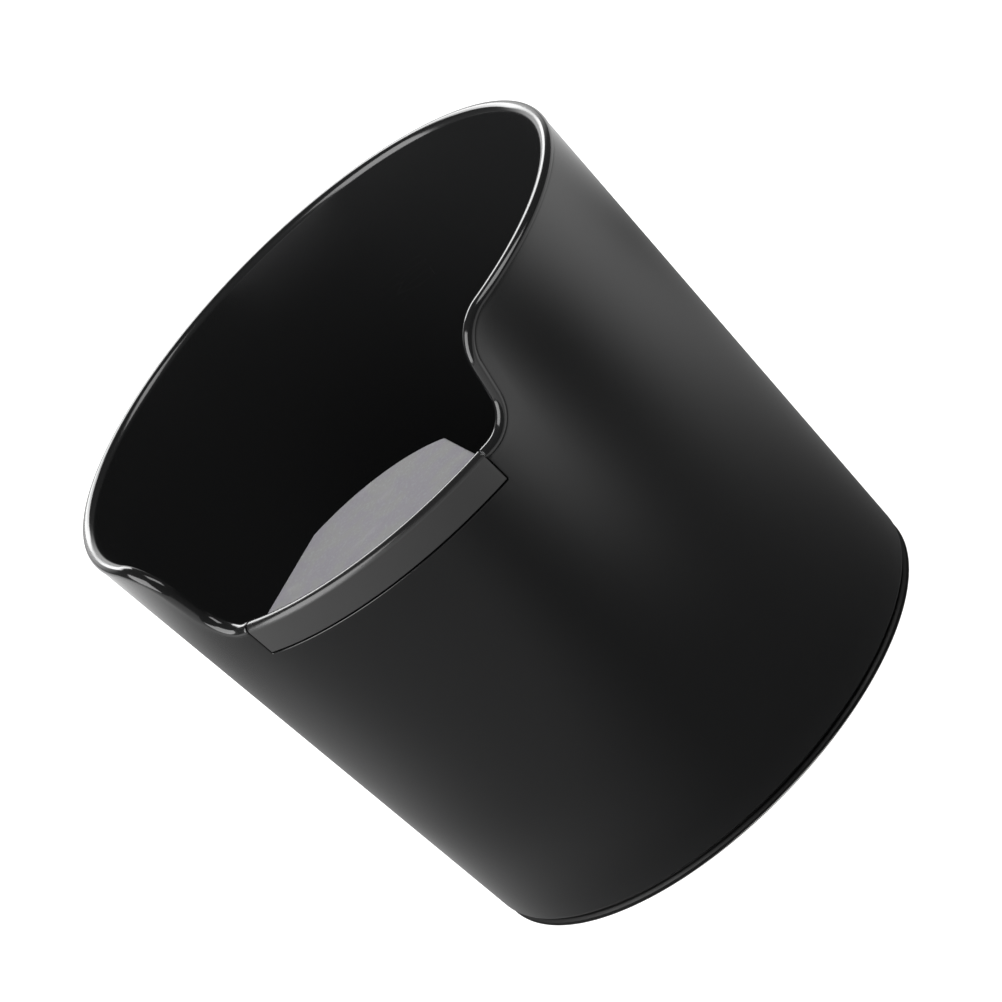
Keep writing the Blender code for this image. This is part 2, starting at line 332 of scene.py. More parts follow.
class Graph:
    """A node tree and the one way to add a node to it."""

    def __init__(self, tree):
        self.tree = tree

    def node(self, kind, settings, sockets, output=0):
        """Add a node: its settings first, then its sockets' values or links."""
        node = self.tree.nodes.new(kind)
        for name, value in settings.items():
            setattr(node, name, value)
        for name, value in sockets.items():
            self.feed(node.inputs[name], value)
        return Signal(self, node.outputs[output])

    def feed(self, socket, value):
        """Link or set one input."""
        if isinstance(value, Signal):
            self.tree.links.new(value.socket, socket)
        else:
            socket.default_value = value

    def blend(self, factor, first, second):
        """Mix two colours."""
        settings = {"data_type": "RGBA"}
        return self.node("ShaderNodeMix", settings, {0: factor, 6: first, 7: second}, 2)

    def white(self, level):
        """A white as bright as LEVEL, which may pass 1."""
        settings = {"operation": "SCALE"}
        return self.node("ShaderNodeVectorMath", settings, {0: (1.0, 1.0, 1.0), "Scale": level})

    def along(self, vector, direction):
        """How far VECTOR reaches in a fixed direction."""
        settings = {"operation": "DOT_PRODUCT"}
        return self.node("ShaderNodeVectorMath", settings, {0: vector, 1: direction}, "Value")

    def relief(self, height, strength, depth):
        """A bumped normal; depth in metres."""
        sockets = {"Strength": strength, "Distance": depth, "Height": height}
        return self.node("ShaderNodeBump", {}, sockets)

    def noise(self, place, scale, detail=3.0, roughness=0.5):
        sockets = {"Vector": place, "Scale": scale, "Detail": detail, "Roughness": roughness}
        return self.node("ShaderNodeTexNoise", {}, sockets)

    def stretched(self, place, scale):
        """PLACE with each axis multiplied by its own number."""
        return self.node("ShaderNodeMapping", {}, {"Vector": place, "Scale": scale})


def grey(level, tint=0.0):
    """A neutral colour, a little cooler for a positive tint."""
    return (level * (1.0 - tint), level, level * (1.0 + tint), 1.0)


def new_finish(name):
    """An empty material: its graph, its Principled shader and the Object coordinates."""
    material = bpy.data.materials.new(name)
    material.use_nodes = True
    graph = Graph(material.node_tree)
    shader = material.node_tree.nodes["Principled BSDF"]
    place = graph.node("ShaderNodeTexCoord", {}, {}, "Object")
    return material, graph, shader, place


def finish_surface(graph, shader, colour, roughness, normal):
    """Send the three things that vary over a surface to its shader."""
    graph.feed(shader.inputs["Base Color"], colour)
    graph.feed(shader.inputs["Roughness"], roughness)
    graph.feed(shader.inputs["Normal"], normal)


def hairline_marks(graph, place):
    """Thin stray lines, 1 on a line and 0 off it."""
    sockets = {"Vector": place, "Rotation": (0.3, 0.2, 0.6), "Scale": (60.0, 60.0, 420.0)}
    turned = graph.node("ShaderNodeMapping", {}, sockets)
    settings = {"feature": "DISTANCE_TO_EDGE"}
    edge = graph.node("ShaderNodeTexVoronoi", settings, {"Vector": turned, "Scale": 1.0})
    return 1.0 - edge.ease(0.0, 0.012)


def tub_plastic(finish):
    """Semi-gloss black plastic: a faint ripple, hand-rubbed patches, hairline marks, and the
    inside wall lighter as painted light.
    """
    material, graph, shader, place = new_finish("semi_gloss_black_plastic")
    height = place.part("Z")
    cloudy = graph.noise(place, 34.0, 4.0)
    fine = graph.noise(place, 900.0, 2.0)
    hairlines = hairline_marks(graph, place) * graph.noise(place, 22.0, 2.0).ease(0.52, 0.68)
    foot_wear = 1.0 - height.ease(0.003, 0.012)
    radius = (place.part("X") ** 2.0 + place.part("Y") ** 2.0) ** 0.5
    taper = (inner_radius(HEIGHT) - inner_radius(0.0)) / HEIGHT
    skin = inner_radius(0.0)
    inside = 1.0 - (radius - height * taper).ease(skin + 0.0001, skin + 0.0008)

    dark = grey(finish.plastic_colour[0], 0.02)
    worn_and_painted_light = grey(finish.plastic_colour[0] * 1.9, 0.02)
    # The inside wall is painted lighter here, as painted light; the hairlines and the lighter foot
    # are wear.
    colour = graph.blend((hairlines * 0.35 + foot_wear * 0.25).most(inside * 0.8), dark, worn_and_painted_light)
    roughness = finish.plastic_roughness + (cloudy - 0.5) * 0.05 + (fine - 0.5) * 0.02
    roughness = roughness + hairlines * 0.10 + foot_wear * 0.05 + inside * 0.06
    ripple = graph.noise(place, 260.0, 2.0)
    normal = graph.relief(ripple * 0.6 + fine * 0.4 - hairlines * 0.5, 0.10, 0.02 * MM)
    finish_surface(graph, shader, colour, roughness, normal)
    shader.inputs["IOR"].default_value = PLASTIC_IOR
    return material


def pad_rubber(finish):
    """Satin rubber: fine matt grain on the top face, smoother skirt and lip; painted light on the
    top face, painted shade on the lip.
    """
    material, graph, shader, place = new_finish("grained_black_rubber")
    normal = graph.node("ShaderNodeNewGeometry", {}, {}, "Normal")
    height = place.part("Z")
    level = normal.part("Z").ease(0.80, 0.97)
    on_tongue = level * (1.0 - height.ease(TONGUE_TOP + 0.4 * MM, TONGUE_TOP + 1.2 * MM))
    grain = graph.noise(place, 2600.0, 3.0, 0.6)
    mottle = graph.noise(place, 160.0, 4.0)
    specks = graph.noise(place, 1300.0, 2.0).ease(0.50, 0.72)
    rubbed = graph.stretched(place, (130.0, 210.0, 130.0))
    knocks = graph.noise(rubbed, 1.0, 3.0).ease(0.60, 0.72)

    on_lip = height.ease(LIP_BOTTOM + 0.5 * MM, LIP_BOTTOM + 1.3 * MM)
    base = finish.rubber_colour[0]
    # The upward top face is painted lighter and a little violet: painted light from above. The
    # mottle varies it at random.
    painted_lit_violet = (base * 2.95, base * 2.75, base * 3.35, 1.0)
    top = graph.blend(mottle.ease(0.40, 0.60), grey(base * 2.9), painted_lit_violet)
    grain_and_painted_light = graph.blend(on_tongue, grey(base), top)
    grain_and_painted_light = graph.blend(specks * on_tongue * 0.45, grain_and_painted_light, grey(base * 7.0, 0.05))
    # The lip is painted darker, as a painted dark reflection along its crest.
    colour = graph.blend(on_lip, grain_and_painted_light, grey(base * 0.35))
    roughness = finish.rubber_roughness + on_tongue * 0.28 + (mottle - 0.5) * 0.08
    roughness = roughness + ((specks - 0.3) * 0.10 - knocks * 0.05) * on_tongue - on_lip * 0.17
    bumped = graph.relief(grain * (0.25 + on_tongue * 0.75) + mottle * 0.4, 0.55, 0.06 * MM)
    finish_surface(graph, shader, colour, roughness, bumped)
    shader.inputs["IOR"].default_value = PLASTIC_IOR
    return material


def core_plastic(finish):
    """Glass-filled nylon: dull black with pale fibre flecks and flow marks."""
    material, graph, shader, place = new_finish("glass_filled_nylon")
    fibres = graph.noise(graph.stretched(place, (2200.0, 420.0, 900.0)), 1.0, 2.0).ease(0.62, 0.72)
    flow = graph.noise(place, 90.0, 5.0)
    base = finish.core_colour[0]
    colour = graph.blend(fibres * 0.5 + flow * 0.2, grey(base), grey(base * 2.4))
    roughness = 0.44 + flow * 0.16 + fibres * 0.10
    normal = graph.relief(flow * 0.5 + fibres * 0.5, 0.4, 0.05 * MM)
    finish_surface(graph, shader, colour, roughness, normal)
    return material


def foot_rubber(finish):
    """Matt foot rubber, scuffed paler low down where it drags on the counter."""
    material, graph, shader, place = new_finish("matt_foot_rubber")
    height = place.part("Z")
    scuff = graph.noise(graph.stretched(place, (180.0, 180.0, 900.0)), 1.0, 4.0)
    low = 1.0 - height.ease(0.0, 0.0012)
    dust = graph.noise(place, 1500.0, 2.0).ease(0.55, 0.75)
    base = finish.foot_colour[0]
    colour = graph.blend(low * scuff * 0.6 + dust * 0.25, grey(base), grey(base * 3.0))
    roughness = finish.foot_roughness + (scuff - 0.5) * 0.16
    normal = graph.relief(scuff * 0.5 + dust * 0.5, 0.4, 0.05 * MM)
    finish_surface(graph, shader, colour, roughness, normal)
    shader.inputs["IOR"].default_value = FOOT_IOR
    return material


def dress(piece, material):
    piece.data.materials.clear()
    piece.data.materials.append(material)


# ---- the tub ----

def rim_half():
    """Half of the rim line, front to back: (distance round, z, slope)."""
    low_centre = (LOW_HALF, CREST + LOW_BEND)
    top_centre = (TOP_HALF, HEIGHT - TOP_BEND)
    across = top_centre[0] - low_centre[0]
    rise = top_centre[1] - low_centre[1]
    lean = math.asin((LOW_BEND + TOP_BEND) / math.hypot(across, rise))
    steepest = math.atan2(rise, across) + lean

    line = [(s, CREST, 0.0) for s in spread(0.0, LOW_HALF, 28)]
    for slope in spread(0.0, steepest, 16)[1:]:
        s = low_centre[0] + LOW_BEND * math.sin(slope)
        line.append((s, low_centre[1] - LOW_BEND * math.cos(slope), slope))
    upper = []
    for slope in spread(steepest, 0.0, 20):
        s = top_centre[0] - TOP_BEND * math.sin(slope)
        upper.append((s, top_centre[1] + TOP_BEND * math.cos(slope), slope))
    before, after = line[-1], upper[0]
    for part in spread(0.0, 1.0, 5)[1:-1]:
        s = before[0] + part * (after[0] - before[0])
        line.append((s, before[1] + part * (after[1] - before[1]), steepest))
    line += upper
    line += [(s, HEIGHT, 0.0) for s in spread(TOP_HALF, math.pi * UNROLL_RADIUS, 120)[1:]]
    return line


def rim_samples():
    """The rim line once round, with the angle that each column has lower down the wall."""
    half = rim_half()
    lengths = [0.0]
    for before, after in zip(half, half[1:]):
        lengths.append(lengths[-1] + math.hypot(after[0] - before[0], after[1] - before[1]))
    first = next(i for i, p in enumerate(half) if p[0] > LEAN_START)
    last = next(i for i, p in enumerate(half) if p[0] > LEAN_END)
    samples = []
    for i, (s, z, slope) in enumerate(half):
        low_s = s
        if first < i < last:
            part = (lengths[i] - lengths[first]) / (lengths[last] - lengths[first])
            low_s = half[first][0] + part * (half[last][0] - half[first][0])
        samples.append((s, z, slope, low_s / UNROLL_RADIUS))
    mirrored = [(-s, z, -slope, -low) for s, z, slope, low in samples[1:-1]]
    return mirrored[::-1] + samples


def tub_column(sample):
    """One column of the tub's surface: from under the floor, over the rim, to the floor."""
    s, rim_z, slope, low = sample

    def below(depth, proud, inward=0.0):
        z = rim_z - depth * math.cos(slope)
        angle = (s + depth * math.sin(slope)) / UNROLL_RADIUS
        return polar(outer_radius(z) + proud - inward, angle, z)

    knuckle_z = SHELL_BOTTOM + KNUCKLE
    knuckle_r = outer_radius(knuckle_z)
    column = [
        polar(CENTRE_DISC, low, FLOOR_UNDER),
        polar(RIB_INNER, low, FLOOR_UNDER),
        polar(RIB_INNER, low, SHELL_BOTTOM),
        polar(RIB_OUTER, low, SHELL_BOTTOM),
        polar(RIB_OUTER, low, CHANNEL_TOP),
        polar(CHANNEL_OUTER, low, CHANNEL_TOP),
        polar(CHANNEL_OUTER, low, SHELL_BOTTOM),
    ]
    for r, z in arc((knuckle_r - KNUCKLE, knuckle_z), KNUCKLE, -90.0, 0.0, 6):
        column.append(polar(r, low, z))
    for z in spread(knuckle_z, LEVEL_WALL, 5)[1:]:
        column.append(polar(outer_radius(z), low, z))
    band_z = rim_z - RIM_BAND * math.cos(slope)
    band_angle = (s + RIM_BAND * math.sin(slope)) / UNROLL_RADIUS
    middle_z = (band_z + LEVEL_WALL) / 2.0
    middle_angle = (band_angle + low) / 2.0
    column.append(polar(outer_radius(middle_z), middle_angle, middle_z))
    column.append(below(RIM_BAND, 0.0))
    for depth, proud in BEAD_STEP:
        column.append(below(depth * MM, proud * MM))
    round_radius = (WALL + RIM_BEAD) / 2.0
    for turn in spread(0.0, math.pi, 16):
        depth = round_radius * (1.0 - math.sin(turn))
        column.append(below(depth, RIM_BEAD, round_radius * (1.0 - math.cos(turn))))
    column.append(below(RIM_BAND, 0.0, WALL))
    column.append(polar(inner_radius(middle_z), middle_angle, middle_z))
    fillet_z = FLOOR_TOP + FLOOR_FILLET
    for z in spread(LEVEL_WALL, fillet_z, 5)[:-1]:
        column.append(polar(inner_radius(z), low, z))
    centre = (inner_radius(fillet_z) - FLOOR_FILLET, fillet_z)
    for r, z in arc(centre, FLOOR_FILLET, 0.0, -90.0, 8):
        column.append(polar(r, low, z))
    column.append(polar(CENTRE_DISC, low, FLOOR_TOP))
    return column


def sector(name, section, half_angle, steps):
    """A solid with the (r, z) SECTION, carried from -half_angle to half_angle."""
    angles = spread(-half_angle, half_angle, steps)
    rings = [[polar(r, angle, z) for r, z in section] for angle in angles]
    return new_piece(name, woven(rings, capped=True))


def tub_moulding():
    """The tub: swept wall and rim, then the shallow seat that the pad sits in."""
    columns = [tub_column(sample) for sample in rim_samples()]
    tub = new_piece("tub_moulding", woven(list(zip(*columns)), capped=True))
    outside = TOP_RADIUS + CLEAR
    inside = inner_radius(SEAT_WALL_TOP) - CLEAR
    section = [
        (SEAT_RADIUS, SEAT_BOTTOM),
        (outside, SEAT_BOTTOM),
        (outside, HEIGHT + CLEAR),
        (inside, HEIGHT + CLEAR),
        (inside, SEAT_WALL_TOP),
        (SEAT_RADIUS, SEAT_WALL_TOP),
    ]
    cut_away(tub, sector("seat_cutter", section, PAD_HALF_ANGLE + GAP / SEAT_RADIUS, 57))
    seat_side = PAD_HALF_ANGLE + 2.0 * GAP / SEAT_RADIUS

    def at_seat(point):
        angle = abs(math.atan2(point.x, -point.y))
        return angle < seat_side and point.z > SEAT_BOTTOM - GAP

    soften(tub, at_seat, SEAT_EDGE, 3)
    flatten_shading(tub)
    return tub


# ---- the pad ----

def rear_reach(angle):
    """Distance from the axis to the tongue's rear edge, in the direction ANGLE."""
    corner_depth = TONGUE_CORNER * math.cos(PAD_HALF_ANGLE)
    corner_x = TONGUE_CORNER * math.sin(PAD_HALF_ANGLE)
    rise = corner_depth - TONGUE_REAR
    radius = (corner_x ** 2 + rise ** 2) / (2.0 * rise)
    centre = TONGUE_REAR + radius
    return centre * math.cos(angle) - math.sqrt(radius ** 2 - (centre * math.sin(angle)) ** 2)


def pad_section(angle):
    """Section of the rubber pad in the radial plane at ANGLE, as (r, z)."""
    lip = WALL / 2.0
    lip_z = LIP_BOTTOM
    lip_r = outer_radius(lip_z)
    skirt_r = outer_radius(SKIRT_BOTTOM)
    rear = rear_reach(angle)
    leg_top = inner_radius(TONGUE_UNDER) - GAP - LEG_THICKNESS
    leg_low = inner_radius(LEG_BOTTOM) - GAP
    cap_z = SEAT_WALL_TOP + GAP
    small, soft, broad = 0.30 * MM, 0.45 * MM, 1.2 * MM

    section = arc((skirt_r - small, SKIRT_BOTTOM + small), small, -90.0, 0.0, 4)
    section += arc((lip_r - lip, lip_z), lip, 0.0, 180.0, 20)
    section += arc((lip_r - WALL - small, TONGUE_TOP + small), small, 0.0, -90.0, 4)
    section += [(r, TONGUE_TOP) for r in spread(lip_r - WALL - small, rear + soft, 12)[1:-1]]
    section += arc((rear + soft, TONGUE_TOP - soft), soft, 90.0, 180.0, 5)
    section += arc((rear + soft, TONGUE_UNDER + soft), soft, 180.0, 270.0, 5)
    section += [(r, TONGUE_UNDER) for r in spread(rear + soft, leg_top - broad, 8)[1:-1]]
    section += arc((leg_top - broad, TONGUE_UNDER - broad), broad, 90.0, 0.0, 5)
    section += arc((leg_low - LEG_THICKNESS + soft, LEG_BOTTOM + soft), soft, 180.0, 270.0, 4)
    section += arc((leg_low - soft, LEG_BOTTOM + soft), soft, -90.0, 0.0, 4)
    section += [
        (inner_radius(cap_z) - GAP, cap_z),
        (SEAT_RADIUS + GAP, cap_z),
        (SEAT_RADIUS + GAP, SKIRT_BOTTOM),
    ]
    return section


def pocket_cutter():
    """The hollow under the tongue that the bracket's plate fills."""
    depth = TONGUE_CORNER * math.cos(PAD_HALF_ANGLE) + TONGUE_EDGE
    half = depth * math.tan(PAD_HALF_ANGLE) - TONGUE_EDGE / math.cos(PAD_HALF_ANGLE)
    middle = TONGUE_REAR + TONGUE_EDGE
    rise = depth - middle
    radius = (half ** 2 + rise ** 2) / (2.0 * rise)
    sweep = math.asin(half / radius)
    outline = []
    for angle in spread(-sweep, sweep, 24):
        outline.append((radius * math.sin(angle), -(middle + radius - radius * math.cos(angle))))
    front = inner_radius(TONGUE_UNDER) - GAP - LEG_THICKNESS
    front_half = PAD_HALF_ANGLE - math.asin(TONGUE_EDGE / front)
    for angle in spread(front_half, -front_half, 40):
        outline.append(polar(front, angle, 0.0)[:2])
    levels = (TONGUE_UNDER - POCKET_REACH, TONGUE_TOP - TONGUE_SKIN)
    rings = [[(x, y, z) for x, y in outline] for z in levels]
    return new_piece("pocket_cutter", woven(rings, capped=True))


def pad_cover():
    """The rubber pad: saddle over the wall, inner leg, and the tongue over the tub."""
    rings = []
    for angle in spread(-PAD_HALF_ANGLE, PAD_HALF_ANGLE, 73):
        rings.append([polar(r, angle, z) for r, z in pad_section(angle)])
    pad = new_piece("pad_cover", woven(rings, capped=True))
    side = math.tan(PAD_HALF_ANGLE)

    def at_end(point):
        return abs(abs(point.x) + point.y * side) < ON_PLANE

    soften(pad, at_end, PAD_EDGE, 3)
    cut_away(pad, pocket_cutter())
    flatten_shading(pad)
    return pad


# ---- the base ring ----

def ring_body(name):
    """The plain part of the ring: flat foot, stepped edge, and the tenon in the channel."""
    edge = RING_RADIUS
    foot = [(RING_INNER, 0.4 * MM), (RING_INNER + 0.4 * MM, 0.0), (edge - 1.0 * MM, 0.0)]
    rim = [
        (edge - 0.5 * MM, 0.45 * MM),
        (edge - 0.5 * MM, 1.10 * MM),
        (edge, 1.12 * MM),
        (edge - 0.08 * MM, 1.25 * MM),
        (edge - 0.6 * MM, RING_RIM_TOP - 0.07 * MM),
        (edge - 0.8 * MM, RING_RIM_TOP),
    ]
    shoulder = [
        (RING_SHOULDER + 0.3 * MM, RING_RIM_TOP),
        (RING_SHOULDER + 0.1 * MM, RING_RIM_TOP + 0.1 * MM),
        (RING_SHOULDER, RING_TOP),
    ]
    tenon = [
        (CHANNEL_OUTER - GAP, RING_TOP),
        (CHANNEL_OUTER - GAP, CHANNEL_TOP - GAP),
        (RIB_OUTER + GAP, CHANNEL_TOP - GAP),
        (RIB_OUTER + GAP, RING_TOP),
    ]
    back = [(RING_INNER + 0.3 * MM, RING_TOP), (RING_INNER, RING_TOP - 0.3 * MM)]
    section = foot + rim + shoulder + tenon + back
    angles = [2.0 * math.pi * i / 360 for i in range(360)]
    rings = [[polar(r, angle, z) for r, z in section] for angle in angles]
    return new_piece(name, woven(rings, capped=False))


def rib_tree():
    """Geometry nodes that stand a row of upright ribs round the ring's edge."""
    tree = bpy.data.node_groups.new("Edge Ribs", "GeometryNodeTree")
    side = tree.interface
    side.new_socket("Geometry", in_out="INPUT", socket_type="NodeSocketGeometry")
    for name, kind in (
        ("Rib Count", "Int"), ("Circle Radius", "Float"), ("Rib Depth", "Float"),
        ("Rib Width", "Float"), ("Rib Height", "Float"), ("Rib Middle", "Float"),
        ("Finish", "Material"),
    ):
        side.new_socket(name, in_out="INPUT", socket_type="NodeSocket" + kind)
    side.new_socket("Geometry", in_out="OUTPUT", socket_type="NodeSocketGeometry")
    graph = Graph(tree)
    given = tree.nodes.new("NodeGroupInput")
    asked = {socket.name: Signal(graph, socket) for socket in given.outputs}

    circle = graph.node(
        "GeometryNodeMeshCircle", {},
        {"Vertices": asked["Rib Count"], "Radius": asked["Circle Radius"]},
    )
    size = graph.node(
        "ShaderNodeCombineXYZ", {},
        {"X": asked["Rib Depth"], "Y": asked["Rib Width"], "Z": asked["Rib Height"]},
    )
    rib = graph.node("GeometryNodeMeshCube", {}, {"Size": size})
    index = graph.node("GeometryNodeInputIndex", {}, {})
    turn = index / asked["Rib Count"] * (2.0 * math.pi)
    rotation = graph.node("ShaderNodeCombineXYZ", {}, {"Z": turn})
    ribs = graph.node(
        "GeometryNodeInstanceOnPoints", {},
        {"Points": circle, "Instance": rib, "Rotation": rotation},
    )
    lift = graph.node("ShaderNodeCombineXYZ", {}, {"Z": asked["Rib Middle"]})
    raised = graph.node(
        "GeometryNodeTranslateInstances", {},
        {"Instances": ribs, "Translation": lift, "Local Space": False},
    )
    joined = graph.node("GeometryNodeJoinGeometry", {}, {0: asked["Geometry"]})
    tree.links.new(raised.socket, joined.socket.node.inputs[0])
    real = graph.node("GeometryNodeRealizeInstances", {}, {0: joined})
    sockets = {"Geometry": real, "Material": asked["Finish"]}
    done = graph.node("GeometryNodeSetMaterial", {}, sockets)
    leaving = tree.nodes.new("NodeGroupOutput")
    tree.links.new(done.socket, leaving.inputs[0])
    return tree


def ribbed_ring(sizes, material):
    """The base ring with its ribs, as one plain mesh."""
    ring = ring_body("ribbed_ring")
    tree = rib_tree()
    modifier = ring.modifiers.new("Edge Ribs", "NODES")
    modifier.node_group = tree
    values = {
        "Rib Count": sizes.rib_count,
        "Circle Radius": RING_RADIUS + EDGE_RIB_PROUD - EDGE_RIB_DEPTH / 2.0,
        "Rib Depth": EDGE_RIB_DEPTH,
        "Rib Width": sizes.rib_width,
        "Rib Height": sizes.rib_height,
        "Rib Middle": EDGE_RIB_FOOT + sizes.rib_height / 2.0,
        "Finish": material,
    }
    for item in tree.interface.items_tree:
        if item.in_out == "INPUT" and item.name in values:
            modifier[item.identifier] = values[item.name]
    settle(ring)
    ring.data.shade_smooth()
    ring.data.set_sharp_from_angle(angle=SHARP)
    return ring


# ---- the studio ----

def flat_disc(name, height):
    """A wide disc of the stage, HEIGHT above the origin."""
    bm = bmesh.new()
    bmesh.ops.create_circle(bm, cap_ends=True, segments=96, radius=STAGE_RADIUS)
    bmesh.ops.translate(bm, verts=bm.verts, vec=(0.0, 0.0, height))
    return new_piece(name, bm)


def floor_finish():
    """Plain pale floor, lit a little from within so that it stays even."""
    material, _, shader, _ = new_finish("studio_floor")
    shader.inputs["Base Color"].default_value = (0.30, 0.30, 0.30, 1.0)
    shader.inputs["Roughness"].default_value = 0.9
    shader.inputs["Specular IOR Level"].default_value = 0.0
    shader.inputs["Emission Color"].default_value = (1.0, 1.0, 1.0, 1.0)
    shader.inputs["Emission Strength"].default_value = 0.98
    return material


def sheen_finish(turn):
    """What glossy surfaces see in place of the floor: soft pools of light on a darker ground."""
    material, graph, shader, place = new_finish("floor_sheen")
    toward = facing(turn, 0.0)
    right = facing(turn + math.pi / 2.0, 0.0)
    ahead = graph.along(place, toward)
    across = graph.along(place, right)

    def pool(centre_across, centre_ahead, reach):
        x = (across - centre_across) / reach
        y = (ahead - centre_ahead) / reach
        return math.e ** (0.0 - (x * x + y * y))

    left = 1.0 - across.ease(-0.12, 0.0)
    behind = 1.0 - ahead.ease(-0.16, 0.02)
    distance = (across * across + ahead * ahead) ** 0.5
    close = 1.0 - distance.ease(0.10, 0.16)
    level = 0.06 + left * (0.20 + behind * 0.04 + close * 0.10) + (1.0 - left) * behind * 0.12
    for centre_across, centre_ahead, reach, strength in SHEEN_POOLS:
        level = level + pool(centre_across, centre_ahead, reach) * strength
    level = level + distance.ease(0.34, 0.52) * 0.80
    level = level * (1.0 - pool(*SHEEN_SHADE) * 0.55)
    shader.inputs["Base Color"].default_value = (0.0, 0.0, 0.0, 1.0)
    shader.inputs["Specular IOR Level"].default_value = 0.0
    shader.inputs["Emission Strength"].default_value = 1.0
    graph.feed(shader.inputs["Emission Color"], graph.white(level))
    return material


def soft_panel(name, direction, distance, size, power):
    """A square soft light that looks at the middle of the tub."""
    light = bpy.data.lights.new(name, "AREA")
    light.shape = "RECTANGLE"
    light.size, light.size_y = size
    light.energy = power
    lamp = bpy.data.objects.new(name, light)
    aim = Vector((0.0, 0.0, HEIGHT / 2.0))
    away = Vector(direction).normalized()
    lamp.location = aim + away * distance
    lamp.rotation_euler = away.to_track_quat("Z", "Y").to_euler()
    lamp.visible_camera = False
    bpy.context.scene.collection.objects.link(lamp)
    return lamp


def camera(studio):
    """The camera: turned round its own line of sight, with the tub's axis across the frame."""
    turn, tilt, roll = studio.view_turn, studio.view_tilt, studio.view_roll
    back = Vector(facing(0.0, tilt))
    right = Vector((1.0, 0.0, 0.0))
    up = back.cross(right)
    aim = Vector((0.0, 0.0, studio.aim_height))
    place = aim + back * studio.distance + right * studio.slide[0] + up * studio.slide[1]
    x_axis = right * math.cos(roll) - up * math.sin(roll)
    y_axis = right * math.sin(roll) + up * math.cos(roll)
    matrix = Matrix((x_axis, y_axis, back)).transposed().to_4x4()
    matrix.translation = place
    data = bpy.data.cameras.new("studio_camera")
    data.sensor_width = 36.0
    data.lens = studio.lens
    data.clip_start = 0.05
    data.clip_end = 20.0
    holder = bpy.data.objects.new("studio_camera", data)
    holder.matrix_world = Matrix.Rotation(turn, 4, "Z") @ matrix
    bpy.context.scene.collection.objects.link(holder)
    bpy.context.scene.camera = holder


def sky(turn, even, glow):
    """Even, very soft light from all round, and a low glow from the backdrop."""
    world = bpy.data.worlds.new("studio_sky")
    world.use_nodes = True
    graph = Graph(world.node_tree)
    direction = graph.node("ShaderNodeTexCoord", {}, {}, "Generated")
    behind = graph.along(direction, facing(turn + math.pi, 0.0)).ease(0.78, 0.97)
    height = direction.part("Z")
    band = height.ease(-0.05, 0.15) * (1.0 - height.ease(0.50, 0.75))
    background = world.node_tree.nodes["Background"]
    background.inputs["Strength"].default_value = 1.0
    graph.feed(background.inputs["Color"], graph.white(even + behind * band * glow))
    bpy.context.scene.world = world


# ---- settings ----

class KnockBoxFinish(bpy.types.PropertyGroup):
    plastic_colour: FloatVectorProperty(
        name="Tub colour", description="Base colour of the tub's plastic", subtype="COLOR",
        default=(0.0068, 0.0068, 0.0070), min=0.0, max=1.0,
    )
    plastic_roughness: FloatProperty(
        name="Tub roughness", description="How dull the tub's plastic is", default=0.13,
        min=0.0, max=1.0,
    )
    rubber_colour: FloatVectorProperty(
        name="Pad colour", description="Base colour of the pad's rubber", subtype="COLOR",
        default=(0.025, 0.025, 0.0255), min=0.0, max=1.0,
    )
    rubber_roughness: FloatProperty(
        name="Pad roughness", description="How dull the pad's rubber is", default=0.36,
        min=0.0, max=1.0,
    )
    core_colour: FloatVectorProperty(
        name="Bracket colour", description="Base colour of the pad's bracket", subtype="COLOR",
        default=(0.024, 0.024, 0.025), min=0.0, max=1.0,
    )
    foot_colour: FloatVectorProperty(
        name="Base ring colour", description="Base colour of the ring's rubber", subtype="COLOR",
        default=(0.006, 0.006, 0.006), min=0.0, max=1.0,
    )
    foot_roughness: FloatProperty(
        name="Base ring roughness", description="How dull the ring's rubber is", default=0.55,
        min=0.0, max=1.0,
    )


class KnockBoxRing(bpy.types.PropertyGroup):
    rib_count: IntProperty(
        name="Ribs", description="Ribs round the ring's lower edge", default=960, min=60, max=2000,
    )
    rib_width: FloatProperty(
        name="Rib width", description="Width of one rib", default=0.00030, unit="LENGTH",
    )
    rib_height: FloatProperty(
        name="Rib height", description="Height of one rib", default=0.00102, unit="LENGTH",
    )


class KnockBoxStudio(bpy.types.PropertyGroup):
    view_turn: FloatProperty(
        name="Turn", description="Camera's angle about the tub", default=math.radians(24.0),
        subtype="ANGLE",
    )
    view_tilt: FloatProperty(
        name="Tilt", description="Camera's angle above the floor", default=math.radians(21.37),
        subtype="ANGLE",
    )
    view_roll: FloatProperty(
        name="Roll", description="Camera's turn round its line of sight",
        default=math.radians(45.58), subtype="ANGLE",
    )
    distance: FloatProperty(
        name="Distance", description="Camera to the aim point", default=1.498, unit="LENGTH",
    )
    aim_height: FloatProperty(
        name="Aim height", description="Height of the aim point", default=0.085, unit="LENGTH",
    )
    slide: FloatVectorProperty(
        name="Slide", description="Sideways and upward move of the camera", size=2,
        default=(0.0035, 0.0042), unit="LENGTH",
    )
    lens: FloatProperty(name="Lens", description="Focal length in mm", default=191.46, min=10.0)
    sky_strength: FloatProperty(
        name="Sky", description="Strength of the even light", default=0.10, min=0.0,
    )
    glow_strength: FloatProperty(
        name="Glow", description="Strength of the backdrop's low glow", default=1.3,
        min=0.0,
    )
    fill_power: FloatProperty(
        name="Fill", description="Power of the overhead fill light, in watts", default=12.0,
        min=0.0,
    )
    panel_power: FloatProperty(
        name="Panels", description="Power of the soft panels, in watts", default=12.0, min=0.0,
    )


# ---- operators ----

